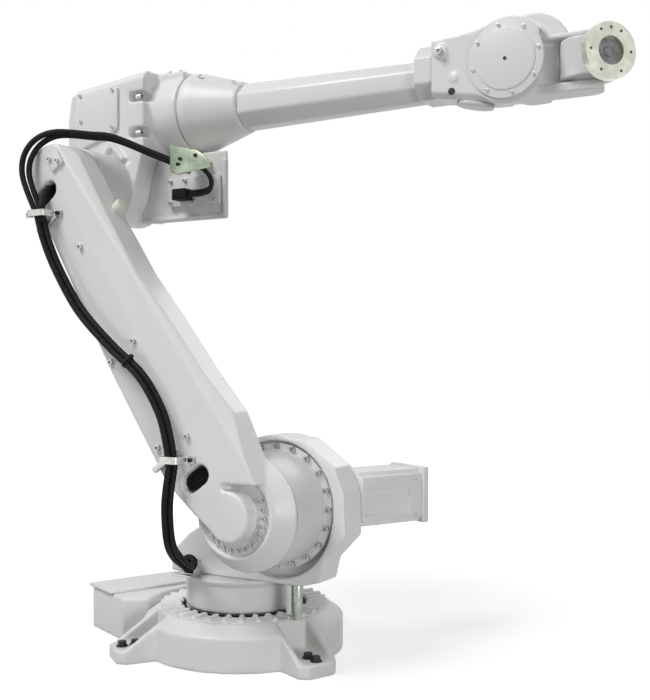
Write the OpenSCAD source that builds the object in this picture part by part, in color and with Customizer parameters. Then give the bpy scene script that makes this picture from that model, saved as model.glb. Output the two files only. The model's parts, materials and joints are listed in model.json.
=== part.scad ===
// Six-axis industrial robot arm, drawn in the pose of the photograph.
// Millimetres, +Z up, origin where axis 1 meets the floor, +X along the reach of the arm.

/* [Base] */
// radius of the round base drum
drum_r = 264; // [255:1:275]
// height of the upright drum wall
drum_h = 86; // [70:1:95]
// height of the flat deck inside the cone
deck_z = 112; // [105:1:114]
// radius of the flat deck
deck_r = 226; // [215:1:235]
// turn of the base front from the arm's reach
base_turn = -24; // [-30:1:-15]
// turn of the two side feet from the base front
foot_turn = 102; // [96:1:106]
// reach of a foot from axis 1
foot_r = 356; // [346:1:375]
// width of a foot pad
foot_w = 114; // [106:1:116]
// thickness of a foot pad
foot_h = 34; // [28:1:40]
// width of the bevel on a foot pad's outer corners
foot_bevel = 20; // [10:1:28]
// thickness of the two gusset ribs of a foot
gusset_t = 16; // [12:1:20]
// distance of the inner anchor hole of a foot from axis 1
anchor_r = 297; // [292:1:302]
// distance between the two anchor holes of a foot
anchor_pitch = 34; // [32:1:38]
// radius of an anchor hole
anchor_hole_r = 9; // [7:0.5:10]
// length of the rear box behind axis 1
box_len = 420; // [400:1:460]
// width of the rear box
box_w = 500; // [460:1:520]
// height of the rear box
box_h = 116; // [100:1:120]
// thickness of the lid of the rear box
lid_t = 8; // [5:1:12]
// length of the lid from the rear end
lid_len = 136; // [110:1:140]
// overhang of the lid
lid_over = 8; // [4:1:12]
// number of ribs on the deck
rib_n = 32; // [20:1:40]

/* [Turret] */
// radius of the turning neck
neck_r = 155; // [145:1:158]
// height of the top of the neck
neck_top = 205; // [200:1:215]
// distance of axis 2 in front of axis 1
axis2_x = 175; // [165:1:185]
// height of axis 2
axis2_z = 400; // [390:1:415]
// outer radius of the frame round axis 2
frame_r = 178; // [172:1:186]
// front face of the frame, toward the lower arm
frame_front = 118; // [110:1:125]
// back face of the frame
frame_back = 78; // [70:1:90]
// thickness of the wide front plate of the frame
plate_t = 88; // [80:1:96]
// radius of the narrow rear of the frame
rear_r = 138; // [128:1:146]
// radius of the gearbox drum
gear_r = 142; // [130:1:148]
// turn of the axis 2 motor from axis 2
motor_turn = -27; // [-30:1:-20]
// side of the square axis 2 motor
motor_w = 142; // [130:1:150]
// length of the axis 2 motor from axis 2
motor_len = 368; // [350:1:385]

/* [Lower arm] */
// length from axis 2 to axis 3
arm_len = 1000; // [980:1:1040]
// backward lean of the lower arm in this pose
arm_lean = 33.3; // [28:0.1:36]
// side of the lower arm next to the gearboxes
arm_in = 245; // [240:1:250]
// thickness of the lower arm
arm_t = 90; // [84:1:94]
// slope of the outer face behind the crease of the lower arm
face_slope = 5; // [3:0.5:6]
// width of the bevel along the front edge of the lower arm
front_bevel = 26; // [20:1:30]
// thickness of the conical lower end
hub_t = 45; // [40:1:50]
// distance of the front edge from the arm line at half length
arm_front = 106; // [100:1:112]
// distance of the back edge from the arm line
arm_back = 116; // [110:1:120]
// radius of the lower end
hub_r = 147; // [143:1:152]
// radius of the lower end on its outer face
hub_face_r = 112; // [108:1:116]
// radius of the upper end
tip_r = 88; // [80:1:94]
// inner radius of the rim round the bolts of the lower end
rim_r = 97; // [93:1:100]
// height of that rim
rim_t = 10; // [7:1:14]
// length of the straight part of the two cable openings
opening_w = 42; // [36:1:48]
// depth of the two cable openings
opening_d = 60; // [45:1:70]
// radius of the round nose over axis 2
boss_r = 61; // [58:1:64]

/* [Elbow] */
// height of axis 4 above axis 3
axis4_up = 202; // [195:1:210]
// distance from axis 3 to axis 5
fore_len = 1304; // [1290:1:1320]
// half width of the elbow housing toward the lower arm
elbow_near = 125; // [120:1:135]
// half width of the elbow housing on the other side
elbow_far = 115; // [105:1:125]
// radius of the axis 3 gearbox
gear3_r = 90; // [84:1:96]
// near face of the motor box
mbox_near = 60; // [50:1:70]
// rear end of the elbow housing behind axis 3
elbow_rear = 142; // [134:1:150]
// length of the motor box in front of axis 3
box3_len = 362; // [350:1:370]
// depth of the motor box below axis 3
box3_drop = 98; // [90:1:106]
// rise of the floor of the motor box toward the far side
box3_rise = 10; // [6:1:12]
// width of the bolted saddle on top of the elbow housing
saddle_w = 130; // [110:1:150]
// depth of the wide part of the axis 3 boss
boss3_y = 20; // [0:1:40]
// bevel along the top of the elbow housing
elbow_bevel = 20; // [14:1:24]

/* [Forearm] */
// radius of the forearm root
root_r = 107; // [100:1:110]
// width across the forearm tube at the root
tube_r1 = 64; // [58:1:68]
// width across the forearm tube at the wrist
tube_r2 = 53; // [48:1:57]
// half width of the wrist housing on the side of the cover
wrist_half = 78; // [72:1:82]
// half width of the wrist housing on the far side
far_half = 60; // [54:1:66]
// radius of the round wrist housing
wrist_r = 98; // [94:1:102]
// height of the centre of the wrist disc above axis 4
wrist_up = 8; // [4:1:10]
// radius of the wrist side cover
cover_r = 89; // [84:1:92]
// bend of the tool axis in this pose
bend = 41.4; // [35:0.1:50]
// half height of the tilt body
tilt_h = 44; // [42:1:46]
// radius of the tilt body
tilt_r = 60; // [55:1:64]
// distance from axis 5 to the tool flange face
flange_d = 92; // [90:1:96]
// radius of the tool flange
flange_r = 62.5; // [62.5:0.5:63]
// radius of the bolt circle of the tool flange
flange_pcr = 50; // [49:0.5:51]
// radius of a bolt hole of the tool flange
flange_hole_r = 3.4; // [3.3:0.1:4.2]
// radius of the pilot bore of the tool flange
pilot_r = 31.5; // [30:0.5:32]

/* [Cables] */
// radius of the dress cable bundle
cable_r = 12; // [9:0.5:14]

/* [Hidden] */
// clearance between turning bodies
gap = 5;
// fit between faces of one body that are curved alike
fit = 0.3;
axis3_x = axis2_x - arm_len * sin(arm_lean);
axis3_z = axis2_z + arm_len * cos(arm_lean);
axis4_z = axis3_z + axis4_up;
axis5_x = axis3_x + fore_len;
arm_out = arm_in + arm_t;
crease = 12;
neck_z = deck_z + gap + 3;
ring_y = frame_front - 25;
gear_y = arm_in - gap;
seam_x = axis3_x + 220;
root_x = seam_x + gap;
tube_x = root_x + 162;
collar_x = tube_x + 520;
wrist_x = axis5_x - 163;
wrist_z = axis4_z + wrist_up;
fork_in = tilt_h + gap;
clamp_t = 7;
flange_t = 20;
collar_t = 48;
neck_side = collar_x + collar_t;
belly = atan2(wrist_r - wrist_up - 62, wrist_x - 20 - neck_side);
plate_y = frame_front - plate_t;
sweep_r = 116;
fork_r = 37;
fork_t = 22;
paint = [0.86, 0.86, 0.85];
shade = [0.74, 0.74, 0.74];
zinc = [0.78, 0.82, 0.70];
black = [0.08, 0.08, 0.08];
cap = [0.92, 0.91, 0.86];

// route of the cable from the turret to the lower clamp
route_low = [[-66, -152, 226], [-50, -196, 244], [-20, -270, 280], [4, -326, 330], [22, -357, 420], [34, -357, 504]];
// route of the cable along the lower arm
route_arm = [[35, -357, 516], [25, -357, 576], [0, -357, 647], [-61, -357, 730], [-156, -357, 802],
    [-255, -357, 890], [-330, -357, 994], [-371, -357, 1072], [-390, -357, 1128]];
// route of the cable from the upper clamp to the elbow bracket
route_high = [[-393, -357, 1138], [-446, -356, 1256], [-434, -350, 1310], [-378, -322, 1346], [-292, -280, 1354],
    [-238, -246, 1338], [-160, -202, 1302], [-106, -173, 1277]];
// route of the cable from the elbow bracket to the plug
route_tail = [[-100, -170, 1274], [-50, -168, 1264], [-18, -152, 1238], [-38, -122, 1212], [-112, -92, 1206]];

function unit(v) = v / norm(v);
function spline(a, b, c, d, t) = 0.5 * (2 * b + (c - a) * t + (2 * a - 5 * b + 4 * c - d) * t * t
    + (3 * b - a - 3 * c + d) * t * t * t);
function smooth(p, n) = concat([for (i = [0:len(p) - 2], k = [0:n - 1])
    spline(p[max(i - 1, 0)], p[i], p[i + 1], p[min(i + 2, len(p) - 1)], k / n)], [p[len(p) - 1]]);

// round tube swept along a list of points
module tube(p, r, sides = 10) {
    last = len(p) - 1;
    ring = [for (i = [0:last])
        let (t = unit(p[min(i + 1, last)] - p[max(i - 1, 0)]))
        let (n = unit(cross(t, [0, 1, 0.2])), b = cross(t, n))
        [for (k = [0:sides - 1]) p[i] + r * (cos(360 * k / sides) * n + sin(360 * k / sides) * b)]];
    points = [for (q = ring, v = q) v];
    walls = [for (i = [0:last - 1], k = [0:sides - 1])
        [i * sides + k, i * sides + (k + 1) % sides, (i + 1) * sides + (k + 1) % sides, (i + 1) * sides + k]];
    ends = [[for (k = [sides - 1:-1:0]) k], [for (k = [0:sides - 1]) last * sides + k]];
    polyhedron(points, concat(walls, ends), convexity = 4);
}

// straight bevel of width w along an edge from a to b, in X and Z, on the face at y
module edge_cut(a, b, y, w) {
    d = b - a;
    translate([a[0], y, a[1]])
        rotate([0, -atan2(d[1], d[0]), 0])
            translate([norm(d) / 2, 0, 0])
                rotate([45, 0, 0])
                    cube([norm(d) + w, w * sqrt(2), w * sqrt(2)], center = true);
}

// outline drawn in X and Z, given a thickness from y0 to y1
module slab(y0, y1) {
    for (i = [0:$children - 1])
        translate([0, y1, 0])
            rotate([90, 0, 0])
                linear_extrude(y1 - y0)
                    children(i);
}

// cylinder along Y from y0 to y1
module roller(x, z, r, y0, y1) {
    translate([x, y1, z])
        rotate([90, 0, 0])
            cylinder(h = y1 - y0, r = r, $fn = 96);
}

// cylinder along X
module bar(x0, x1, z, r0, r1, sides = 96) {
    translate([x0, 0, z])
        rotate([0, 90, 0])
            cylinder(h = x1 - x0, r1 = r0, r2 = r1, $fn = sides);
}

module base_frame() {
    rotate([0, 0, base_turn])
        children();
}

module arm_frame() {
    translate([axis2_x, 0, axis2_z])
        rotate([0, -arm_lean, 0])
            children();
}

module foot() {
    root = drum_r - 60;
    side = foot_w / 2;
    linear_extrude(foot_h)
        polygon([[root, -side], [foot_r - foot_bevel, -side], [foot_r, foot_bevel - side],
            [foot_r, side - foot_bevel], [foot_r - foot_bevel, side], [root, side]]);
    for (s = [-1, 1])
        translate([0, s * (side - gusset_t / 2), 0])
            slab(-gusset_t / 2, gusset_t / 2)
                polygon([[root, 0], [foot_r - foot_bevel, 0], [foot_r - foot_bevel, foot_h],
                    [drum_r - 14, drum_h + 8], [root, drum_h + 8]]);
}

module base_casting() {
    color(paint)
    base_frame()
        difference() {
            union() {
                rotate_extrude($fn = 128)
                    polygon([[0, 0], [drum_r, 0], [drum_r, drum_h], [deck_r, deck_z], [0, deck_z]]);
                for (a = [0, foot_turn, -foot_turn])
                    rotate([0, 0, a])
                        foot();
            }
            for (a = [0, foot_turn, -foot_turn])
                rotate([0, 0, a])
                    translate([deck_r - 2, gusset_t - foot_w / 2, foot_h])
                        cube([foot_r, foot_w - 2 * gusset_t, drum_h]);
            for (a = [0, foot_turn, -foot_turn], k = [0, 1])
                rotate([0, 0, a])
                    translate([anchor_r + k * anchor_pitch, 0, -1])
                        cylinder(h = foot_h + 2, r = anchor_hole_r, $fn = 48);
        }
}

module base_rib_ring() {
    color(paint)
    base_frame()
        translate([0, 0, deck_z])
            union() {
                difference() {
                    cylinder(h = 3, r = deck_r - 4, $fn = 128);
                    translate([0, 0, -1])
                        cylinder(h = 5, r = neck_r + 2 * gap, $fn = 128);
                }
                for (k = [0:rib_n - 1])
                    rotate([0, 0, 360 * k / rib_n])
                        translate([neck_r + 2 * gap + 2, -6, 1])
                            cube([deck_r - neck_r - 2 * gap - 8, 12, 8]);
            }
}

module rear_box() {
    color(paint)
    base_frame()
        difference() {
            linear_extrude(box_h)
                polygon([[-box_len, -box_w / 2], [-drum_r + 40, -box_w / 2], [-drum_r + 90, -box_w / 2 + 70],
                    [-drum_r + 90, box_w / 2 - 70], [-drum_r + 40, box_w / 2], [-box_len, box_w / 2]]);
            translate([0, 0, -1])
                cylinder(h = box_h + 2, r = drum_r + fit, $fn = 128);
        }
}

module rear_box_lid() {
    color(paint)
    base_frame()
        translate([-box_len - lid_over, -box_w / 2 - lid_over, box_h])
            cube([lid_len + lid_over, box_w + 2 * lid_over, lid_t]);
}

module turret_neck() {
    color(paint)
    union() {
        translate([0, 0, neck_z])
            cylinder(h = neck_top - neck_z, r = neck_r, $fn = 128);
        translate([0, 0, neck_top - 12])
            cylinder(h = 12, r = neck_r + 8, $fn = 128);
        translate([0, 0, deck_z + fit])
            cylinder(h = neck_z - deck_z, r = neck_r - 20, $fn = 128);
    }
}

module turret_frame() {
    right = axis2_x + frame_r;
    color(paint)
    difference() {
        union() {
            roller(axis2_x, axis2_z, frame_r, -frame_front, -plate_y);
            slab(-frame_front, -plate_y)
                polygon([[-neck_r, neck_top], [axis2_x + 72, neck_top], [axis2_x + 127, axis2_z - 180],
                    [axis2_x + 140, axis2_z - 126], [right + 20, axis2_z - 66], [right + 16, axis2_z + 40],
                    [right - 10, axis2_z + 105], [axis2_x + 74, axis2_z + frame_r - 8], [axis2_x, axis2_z + frame_r - 8],
                    [axis2_x - 120, axis2_z], [-neck_r + 60, axis2_z - 90], [-neck_r, neck_top + 50]]);
            roller(axis2_x, axis2_z, rear_r, -plate_y, frame_back);
            slab(-plate_y, frame_back)
                polygon([[-neck_r + 20, neck_top], [axis2_x + 40, neck_top], [axis2_x + rear_r - 10, axis2_z - 50],
                    [axis2_x, axis2_z + 40], [axis2_x - rear_r, axis2_z - 20], [-neck_r + 20, neck_top + 60]]);
        }
        roller(axis2_x, axis2_z, gear_r + 22, -frame_front - 1, -ring_y);
        translate([0, 0, neck_top - 50])
            cube([900, 900, 100], center = true);
    }
}

module axis2_gearbox() {
    color(shade)
    union() {
        roller(axis2_x, axis2_z, gear_r + 16, -ring_y - 16, -ring_y);
        roller(axis2_x, axis2_z, gear_r, -gear_y, -ring_y);
        roller(axis2_x, axis2_z, gear_r - 30, -arm_in + fit, -ring_y);
    }
}

module motor_frame() {
    translate([axis2_x, -45, axis2_z])
        rotate([0, 0, motor_turn])
            children();
}

module axis2_motor() {
    color(paint)
    difference() {
        motor_frame()
            union() {
                translate([-motor_w / 2, 60, -motor_w / 2 + 12])
                    cube([motor_w, motor_len - 60, motor_w - 24]);
                translate([-motor_w / 2 + 12, 60, -motor_w / 2])
                    cube([motor_w - 24, motor_len - 60, motor_w]);
            }
        translate([-1000, frame_back - 2000 + fit, 0])
            cube([2000, 2000, 2000]);
        motor_frame()
            translate([motor_w / 2 - 6, motor_len - 190, -motor_w / 2 + 30])
                cube([20, 150, motor_w - 76]);
    }
}

module axis2_motor_cap() {
    color(paint)
    motor_frame()
        translate([-motor_w / 2 - 4, motor_len, -motor_w / 2 - 4])
            cube([motor_w + 8, 22, motor_w + 8]);
}

module stop_pin() {
    color(zinc)
    translate([axis2_x + 50, -94, deck_z + gap])
        cylinder(h = neck_top - deck_z - gap, r = 12, $fn = 48);
}

module cable_foot_clip() {
    color(zinc)
    translate([-neck_r + 46, -frame_front - 58, neck_top])
        cube([60, 58, 6]);
}

module lower_arm() {
    near = -arm_out - gap;
    front = [[tip_r, arm_len], [tip_r, 0.82 * arm_len], [arm_front - 15, 0.63 * arm_len],
        [arm_front, arm_len / 2], [hub_r - 26, 0.32 * arm_len], [hub_r - 9, 0.2 * arm_len]];
    pocket = [[hub_face_r, 20], [boss_r - 31, boss_r + 11], [0, 0]];
    back = [[-boss_r, 0], [-boss_r - 22, 0.05 * arm_len], [-arm_back, 0.16 * arm_len], [-arm_back, 0.45 * arm_len],
        [-tip_r, arm_len]];
    color(paint)
    arm_frame()
        difference() {
            union() {
                translate([0, -arm_in, 0])
                    rotate([90, 0, 0])
                        cylinder(h = hub_t, r1 = hub_r, r2 = hub_face_r, $fn = 96);
                difference() {
                    roller(0, 0, hub_face_r - 4, -arm_in - hub_t - rim_t, -arm_in - hub_t + 1);
                    roller(0, 0, rim_r, -arm_in - hub_t - rim_t - 1, -arm_in - hub_t);
                }
                difference() {
                    union() {
                        roller(0, arm_len, tip_r, near, -arm_in);
                        roller(0, 0, boss_r, near, -arm_in - 1);
                        slab(near, -arm_in)
                            polygon(concat(front, pocket, back));
                    }
                    translate([crease, -arm_out, -hub_r])
                        translate([0, -2 * arm_t, 0])
                            cube([2 * hub_r, 2 * arm_t, arm_len + 2 * hub_r]);
                    translate([crease, -arm_out, -hub_r])
                        rotate([0, 0, -face_slope])
                            translate([-2 * hub_r, -2 * arm_t, 0])
                                cube([2 * hub_r + 40, 2 * arm_t, arm_len + 2 * hub_r]);
                }
            }
            edge_cut([hub_r + 3, 0], [tip_r - 6, arm_len + tip_r], -arm_out, front_bevel);
            opening(-arm_back + 64, 0.12 * arm_len, 24, near);
            opening(-tip_r + 24, 0.98 * arm_len, 21, near);
        }
}

// oblong cable opening across the lower arm
module opening(x, z, r, near) {
    roller(x, z, r, near, -arm_out + opening_d);
    roller(x + opening_w, z, r, near, -arm_out + opening_d);
    translate([x, near, z - r])
        cube([opening_w, opening_d - arm_out - near, 2 * r]);
}

module arm_hub_ring() {
    floor_y = -arm_in - hub_t;
    color(shade)
    arm_frame()
        difference() {
            roller(0, 0, rim_r - fit, floor_y - 5, floor_y);
            roller(0, 0, boss_r + fit, floor_y - 6, floor_y + 1);
            slab(floor_y - 6, floor_y + 1)
                polygon([[hub_r, 20 - 1.5 * (hub_r - hub_face_r)], [hub_face_r, 20 - fit], [boss_r - 31, boss_r + 11 - fit],
                    [0, 0], [-hub_r, -fit], [-hub_r, hub_r], [hub_r, hub_r]]);
        }
}

module arm_tip_cap() {
    color(paint)
    arm_frame()
        translate([crease + 2, -arm_out - 7, arm_len + 6])
            cube([0.5 * tip_r, 7, 0.5 * tip_r]);
}

module arm_bumper() {
    color(cap)
    arm_frame()
        translate([tip_r, -arm_in - 24, 0.836 * arm_len])
            rotate([0, 90, 0])
                cylinder(h = 26, r = 20, $fn = 48);
}

module lower_clamp() {
    color(zinc)
    arm_frame()
        translate([-arm_back - 6, -arm_out - clamp_t, 0.19 * arm_len])
            difference() {
                cube([86, clamp_t + 9, 14]);
                translate([arm_back + 6 + crease, clamp_t - fit, -1])
                    rotate([0, 0, -face_slope])
                        translate([-2 * arm_back, 0, 0])
                            cube([2 * arm_back, 60, 16]);
            }
}

module upper_clamp() {
    color(zinc)
    arm_frame()
        translate([-arm_back + 2, -arm_out - clamp_t, 0.9 * arm_len])
            difference() {
                cube([76, clamp_t + 9, 14]);
                translate([arm_back - 2 + crease, clamp_t - fit, -1])
                    rotate([0, 0, -face_slope])
                        translate([-2 * arm_back, 0, 0])
                            cube([2 * arm_back, 60, 16]);
            }
}

module arm_cable() {
    color(black)
    tube(smooth(route_arm, 4), cable_r);
}

module low_loop_cable() {
    color(black)
    tube(smooth(route_low, 4), cable_r);
}

module high_loop_cable() {
    color(black)
    tube(smooth(route_high, 4), cable_r);
}

module tail_cable() {
    color(black)
    tube(smooth(route_tail, 4), cable_r);
}

module axis3_gearbox() {
    color(shade)
    union() {
        roller(axis3_x, axis3_z, gear3_r, -gear_y, -elbow_near);
        roller(axis3_x, axis3_z, gear3_r - 30, -arm_in + fit, -elbow_near);
    }
}

module elbow_housing() {
    rear = axis3_x - elbow_rear;
    crown = [[rear + 14, axis4_z + 84], [axis3_x + 130, axis4_z + root_r + 4]];
    color(paint)
    union() {
        roller(axis3_x, axis3_z, gear3_r + 8, -elbow_near, boss3_y);
        roller(axis3_x, axis3_z, gear3_r - 14, boss3_y - 1, elbow_far);
        difference() {
            slab(-elbow_near, elbow_far)
                polygon([[rear, axis3_z + 30], [rear, axis4_z], crown[0], crown[1], [axis3_x + 130, axis4_z - root_r],
                    [axis3_x + gear3_r + 8, axis3_z]]);
            edge_cut(crown[0], crown[1], -elbow_near, elbow_bevel);
            edge_cut(crown[0], crown[1], elbow_far, elbow_bevel);
        }
        bar(axis3_x + 60, seam_x, axis4_z, root_r - 6, root_r);
        slab(-saddle_w / 2, saddle_w / 2)
            polygon([[axis3_x + 100, axis4_z], [axis3_x + 100, axis4_z + root_r], [crown[1][0], crown[1][1] - 1],
                [seam_x, axis4_z + root_r], [seam_x, axis4_z]]);
    }
}

module elbow_rear_cover() {
    rear = axis3_x - elbow_rear;
    color(paint)
    slab(-elbow_near - 8, -elbow_near)
        polygon([[rear + 28, axis4_z - 96], [rear + 28, axis4_z], [rear + 38, axis4_z + 60],
            [axis3_x + 44, axis4_z + 70], [axis3_x + 44, axis4_z - 40], [axis3_x + 10, axis4_z - 60]]);
}

module axis3_motor_box() {
    left = axis3_x + 72;
    right = axis3_x + box3_len;
    color(paint)
    difference() {
        intersection() {
            translate([0, 0, axis3_z - box3_drop])
                linear_extrude(axis4_z - root_r - 12 - axis3_z + box3_drop)
                    polygon([[left, -mbox_near], [right, -mbox_near], [right - 116, elbow_far - 10],
                        [left, elbow_far - 10]]);
            slab(-mbox_near - 1, elbow_far)
                polygon([[left, axis3_z - box3_drop], [right - 8, axis3_z - box3_drop], [right, axis4_z],
                    [left, axis4_z]]);
        }
        roller(axis3_x, axis3_z, gear3_r + 8 + fit, -elbow_near - 1, elbow_far + 1);
        translate([left - 1, -mbox_near, axis3_z - box3_drop])
            rotate([box3_rise, 0, 0])
                translate([0, -1, -100])
                    cube([box3_len + 2, 2 * elbow_far, 100]);
        bar(axis3_x + 60 - fit, seam_x + 1, axis4_z, root_r - 6 + fit, root_r + fit);
        slab(-elbow_near - 1, elbow_far + 1)
            polygon([[axis3_x, axis3_z], [axis3_x, axis4_z], [axis3_x + 130 + fit, axis4_z],
                [axis3_x + 130 + fit, axis4_z - root_r - fit], [axis3_x + gear3_r + 9, axis3_z]]);
    }
}

module connector_plate() {
    color(shade)
    translate([axis3_x + 172, -mbox_near - 12, axis3_z - 58])
        cube([170, 12, 76]);
}

module cable_plug() {
    color(black)
    translate([axis3_x + 212, -mbox_near - 12 - 36, axis3_z - 46])
        cube([44, 36, 30]);
}

module cable_bracket() {
    color(zinc)
    union() {
        slab(-150, -145)
            polygon([[axis3_x + 242, axis3_z + 22], [axis3_x + 264, axis3_z + 11], [axis3_x + 368, axis3_z + 27],
                [axis3_x + 368, axis3_z + 41], [axis3_x + 330, axis3_z + 70], [axis3_x + 242, axis3_z + 90]]);
        translate([axis3_x + 250, -146, axis3_z + 50])
            cube([60, 146 - mbox_near, 6]);
    }
}

module forearm_root() {
    color(paint)
    union() {
        bar(seam_x + fit, root_x + 24, axis4_z, root_r - 12, root_r - 12);
        bar(root_x, root_x + 24, axis4_z, root_r, root_r);
        bar(root_x + 24, tube_x, axis4_z, root_r, tube_r1 + 2);
    }
}

module forearm_tube() {
    color(paint)
    translate([tube_x, 0, axis4_z])
        rotate([22.5, 0, 0])
            rotate([0, 90, 0])
                cylinder(h = collar_x - tube_x, r1 = tube_r1, r2 = tube_r2, $fn = 8);
}

module wrist_collar() {
    color(paint)
    translate([collar_x, 0, axis4_z])
        rotate([90, 0, 90])
            linear_extrude(collar_t)
                polygon([[-38, -52], [38, -52], [72, -18], [72, 42], [38, 76], [-38, 76], [-72, 42], [-72, -18]]);
}

module wrist_housing() {
    shell = [[neck_side, axis4_z - 56], [wrist_x - 20, wrist_z - wrist_r + 6]];
    color(paint)
    difference() {
        union() {
            roller(wrist_x, wrist_z, wrist_r, -wrist_half, -6);
            roller(wrist_x + 31, axis4_z + 26, wrist_r + 2, -10, far_half);
            difference() {
                slab(-wrist_half, far_half)
                    polygon([shell[0], shell[1], [wrist_x, wrist_z + wrist_r], [wrist_x - 80, wrist_z + wrist_r - 22],
                        [neck_side + 50, axis4_z + 78], [neck_side, axis4_z + 76]]);
                edge_cut(shell[0], shell[1], far_half, 44);
                edge_cut(shell[0], shell[1], -wrist_half, 12);
            }
            translate([0, 0, axis4_z + fork_in])
                fork(fork_r, 12);
            translate([0, 0, axis4_z - fork_in - fork_t])
                fork(fork_r, fork_t);
        }
        translate([axis5_x, 0, axis4_z - fork_in])
            cylinder(h = fork_in * 2, r = sweep_r, $fn = 128);
        translate([axis5_x, 0, axis4_z - fork_in - 18])
            difference() {
                cylinder(h = 2 * fork_in + 36, r = sweep_r, $fn = 128);
                translate([-sweep_r - 1, -fork_r, -1])
                    cube([2 * sweep_r + 2, 2 * fork_r, 2 * fork_in + 40]);
            }
        translate([neck_side - 1, -wrist_half, wrist_z - wrist_r - 1])
            rotate([8, 0, 0])
                translate([0, 0, -60])
                    cube([500, 3 * wrist_half, 60]);
    }
}

module fork(r, h) {
    translate([axis5_x, 0, 0])
        cylinder(h = h, r = r, $fn = 64);
    translate([wrist_x - 10, -r, 0])
        cube([axis5_x - wrist_x + 10, 2 * r, h]);
}

module wrist_side_cover() {
    color(paint)
    union() {
        roller(wrist_x, wrist_z, cover_r, -wrist_half - 7, -wrist_half);
        roller(wrist_x, wrist_z, 70, -wrist_half - 10, -wrist_half - 6);
    }
}

module wrist_under_cover() {
    color(shade)
    translate([wrist_x - 20, 0, wrist_z - wrist_r + 6])
        rotate([0, belly, 0])
            translate([-74, -30, -9.6])
                cylinder(h = 9, r = 44, $fn = 96);
}

module tool_frame() {
    translate([axis5_x, 0, axis4_z])
        rotate([0, 0, -bend])
            children();
}

module tilt_body() {
    color(paint)
    tool_frame()
        union() {
            translate([0, 0, -tilt_h])
                cylinder(h = 2 * tilt_h, r = tilt_r, $fn = 96);
            translate([0, 0, -fork_in + fit])
                cylinder(h = 2 * (fork_in - fit), r = 34, $fn = 64);
            rotate([0, 90, 0])
                cylinder(h = flange_d - flange_t - 3, r = tilt_h, $fn = 96);
            rotate([0, 90, 0])
                cylinder(h = flange_d - flange_t - fit, r = tilt_h - 8, $fn = 96);
        }
}

module tool_flange() {
    color(zinc)
    tool_frame()
        rotate([0, 90, 0])
            difference() {
                translate([0, 0, flange_d - flange_t])
                    cylinder(h = flange_t, r = flange_r, $fn = 128);
                translate([0, 0, flange_d - 12])
                    cylinder(h = 13, r = pilot_r, $fn = 96);
                for (k = [0:5])
                    rotate([0, 0, 60 * k + 30])
                        translate([flange_pcr, 0, flange_d - 14])
                            cylinder(h = 15, r = flange_hole_r, $fn = 32);
                rotate([0, 0, 180])
                    translate([flange_pcr, 0, flange_d - 10])
                        cylinder(h = 11, r = 4, $fn = 32);
            }
}

base_casting();
base_rib_ring();
rear_box();
rear_box_lid();
turret_neck();
turret_frame();
axis2_gearbox();
axis2_motor();
axis2_motor_cap();
stop_pin();
cable_foot_clip();
lower_arm();
arm_hub_ring();
arm_tip_cap();
arm_bumper();
lower_clamp();
upper_clamp();
arm_cable();
axis3_gearbox();
elbow_housing();
elbow_rear_cover();
axis3_motor_box();
connector_plate();
cable_plug();
cable_bracket();
tail_cable();
forearm_root();
forearm_tube();
wrist_collar();
wrist_housing();
wrist_side_cover();
wrist_under_cover();
tilt_body();
tool_flange();
low_loop_cable();
high_loop_cable();
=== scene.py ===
import json
import math
import bpy
import bmesh
from mathutils import Vector, Matrix

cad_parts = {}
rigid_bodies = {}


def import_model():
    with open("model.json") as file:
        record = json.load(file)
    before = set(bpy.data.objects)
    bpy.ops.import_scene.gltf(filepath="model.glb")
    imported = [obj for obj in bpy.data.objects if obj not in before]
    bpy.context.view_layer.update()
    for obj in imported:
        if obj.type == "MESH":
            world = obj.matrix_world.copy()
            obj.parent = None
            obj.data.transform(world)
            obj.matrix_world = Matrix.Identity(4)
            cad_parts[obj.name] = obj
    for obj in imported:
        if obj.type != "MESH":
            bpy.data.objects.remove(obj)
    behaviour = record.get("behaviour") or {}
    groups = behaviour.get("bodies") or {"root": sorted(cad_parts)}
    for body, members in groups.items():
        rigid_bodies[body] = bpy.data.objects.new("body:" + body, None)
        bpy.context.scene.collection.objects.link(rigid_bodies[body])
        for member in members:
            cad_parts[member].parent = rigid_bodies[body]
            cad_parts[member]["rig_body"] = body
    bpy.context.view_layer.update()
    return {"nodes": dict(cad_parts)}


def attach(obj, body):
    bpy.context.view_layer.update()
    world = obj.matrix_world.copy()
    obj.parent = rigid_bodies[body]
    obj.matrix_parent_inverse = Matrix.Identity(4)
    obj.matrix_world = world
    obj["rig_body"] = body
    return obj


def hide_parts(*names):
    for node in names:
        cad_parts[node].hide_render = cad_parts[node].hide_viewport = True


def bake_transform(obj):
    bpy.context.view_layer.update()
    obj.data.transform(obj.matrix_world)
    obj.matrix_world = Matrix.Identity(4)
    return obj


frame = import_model()
nodes = frame["nodes"]
print("stage: frame loaded,", len(nodes), "nodes")

# axes of the arm in the shared frame, metres and degrees
arm = {
    "axis2": (0.175, 0, 0.400),
    "axis3": Vector((-0.374023, 0, 1.235807)),
    "axis4z": 1.437807,
    "axis5x": 0.929977,
    "lean": 33.3,
    "bend": 41.4,
    "baseTurn": -24,
    "motorTurn": -27,
}
near = Vector((0, -1, 0))
across = Vector((0, 1, 0))
up = Vector((0, 0, 1))
turnBase = math.radians(arm["baseTurn"])

# camera: turned about Z, and its place behind and beside the middle
cameraSet = {"turn": 30.1, "back": 2.842, "side": 0.2157, "height": 0.790, "focus": 1060, "tall": 700, "sensor": 36}


def linked(name, data):
    obj = bpy.data.objects.new(name, data)
    bpy.context.scene.collection.objects.link(obj)
    return obj


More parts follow.
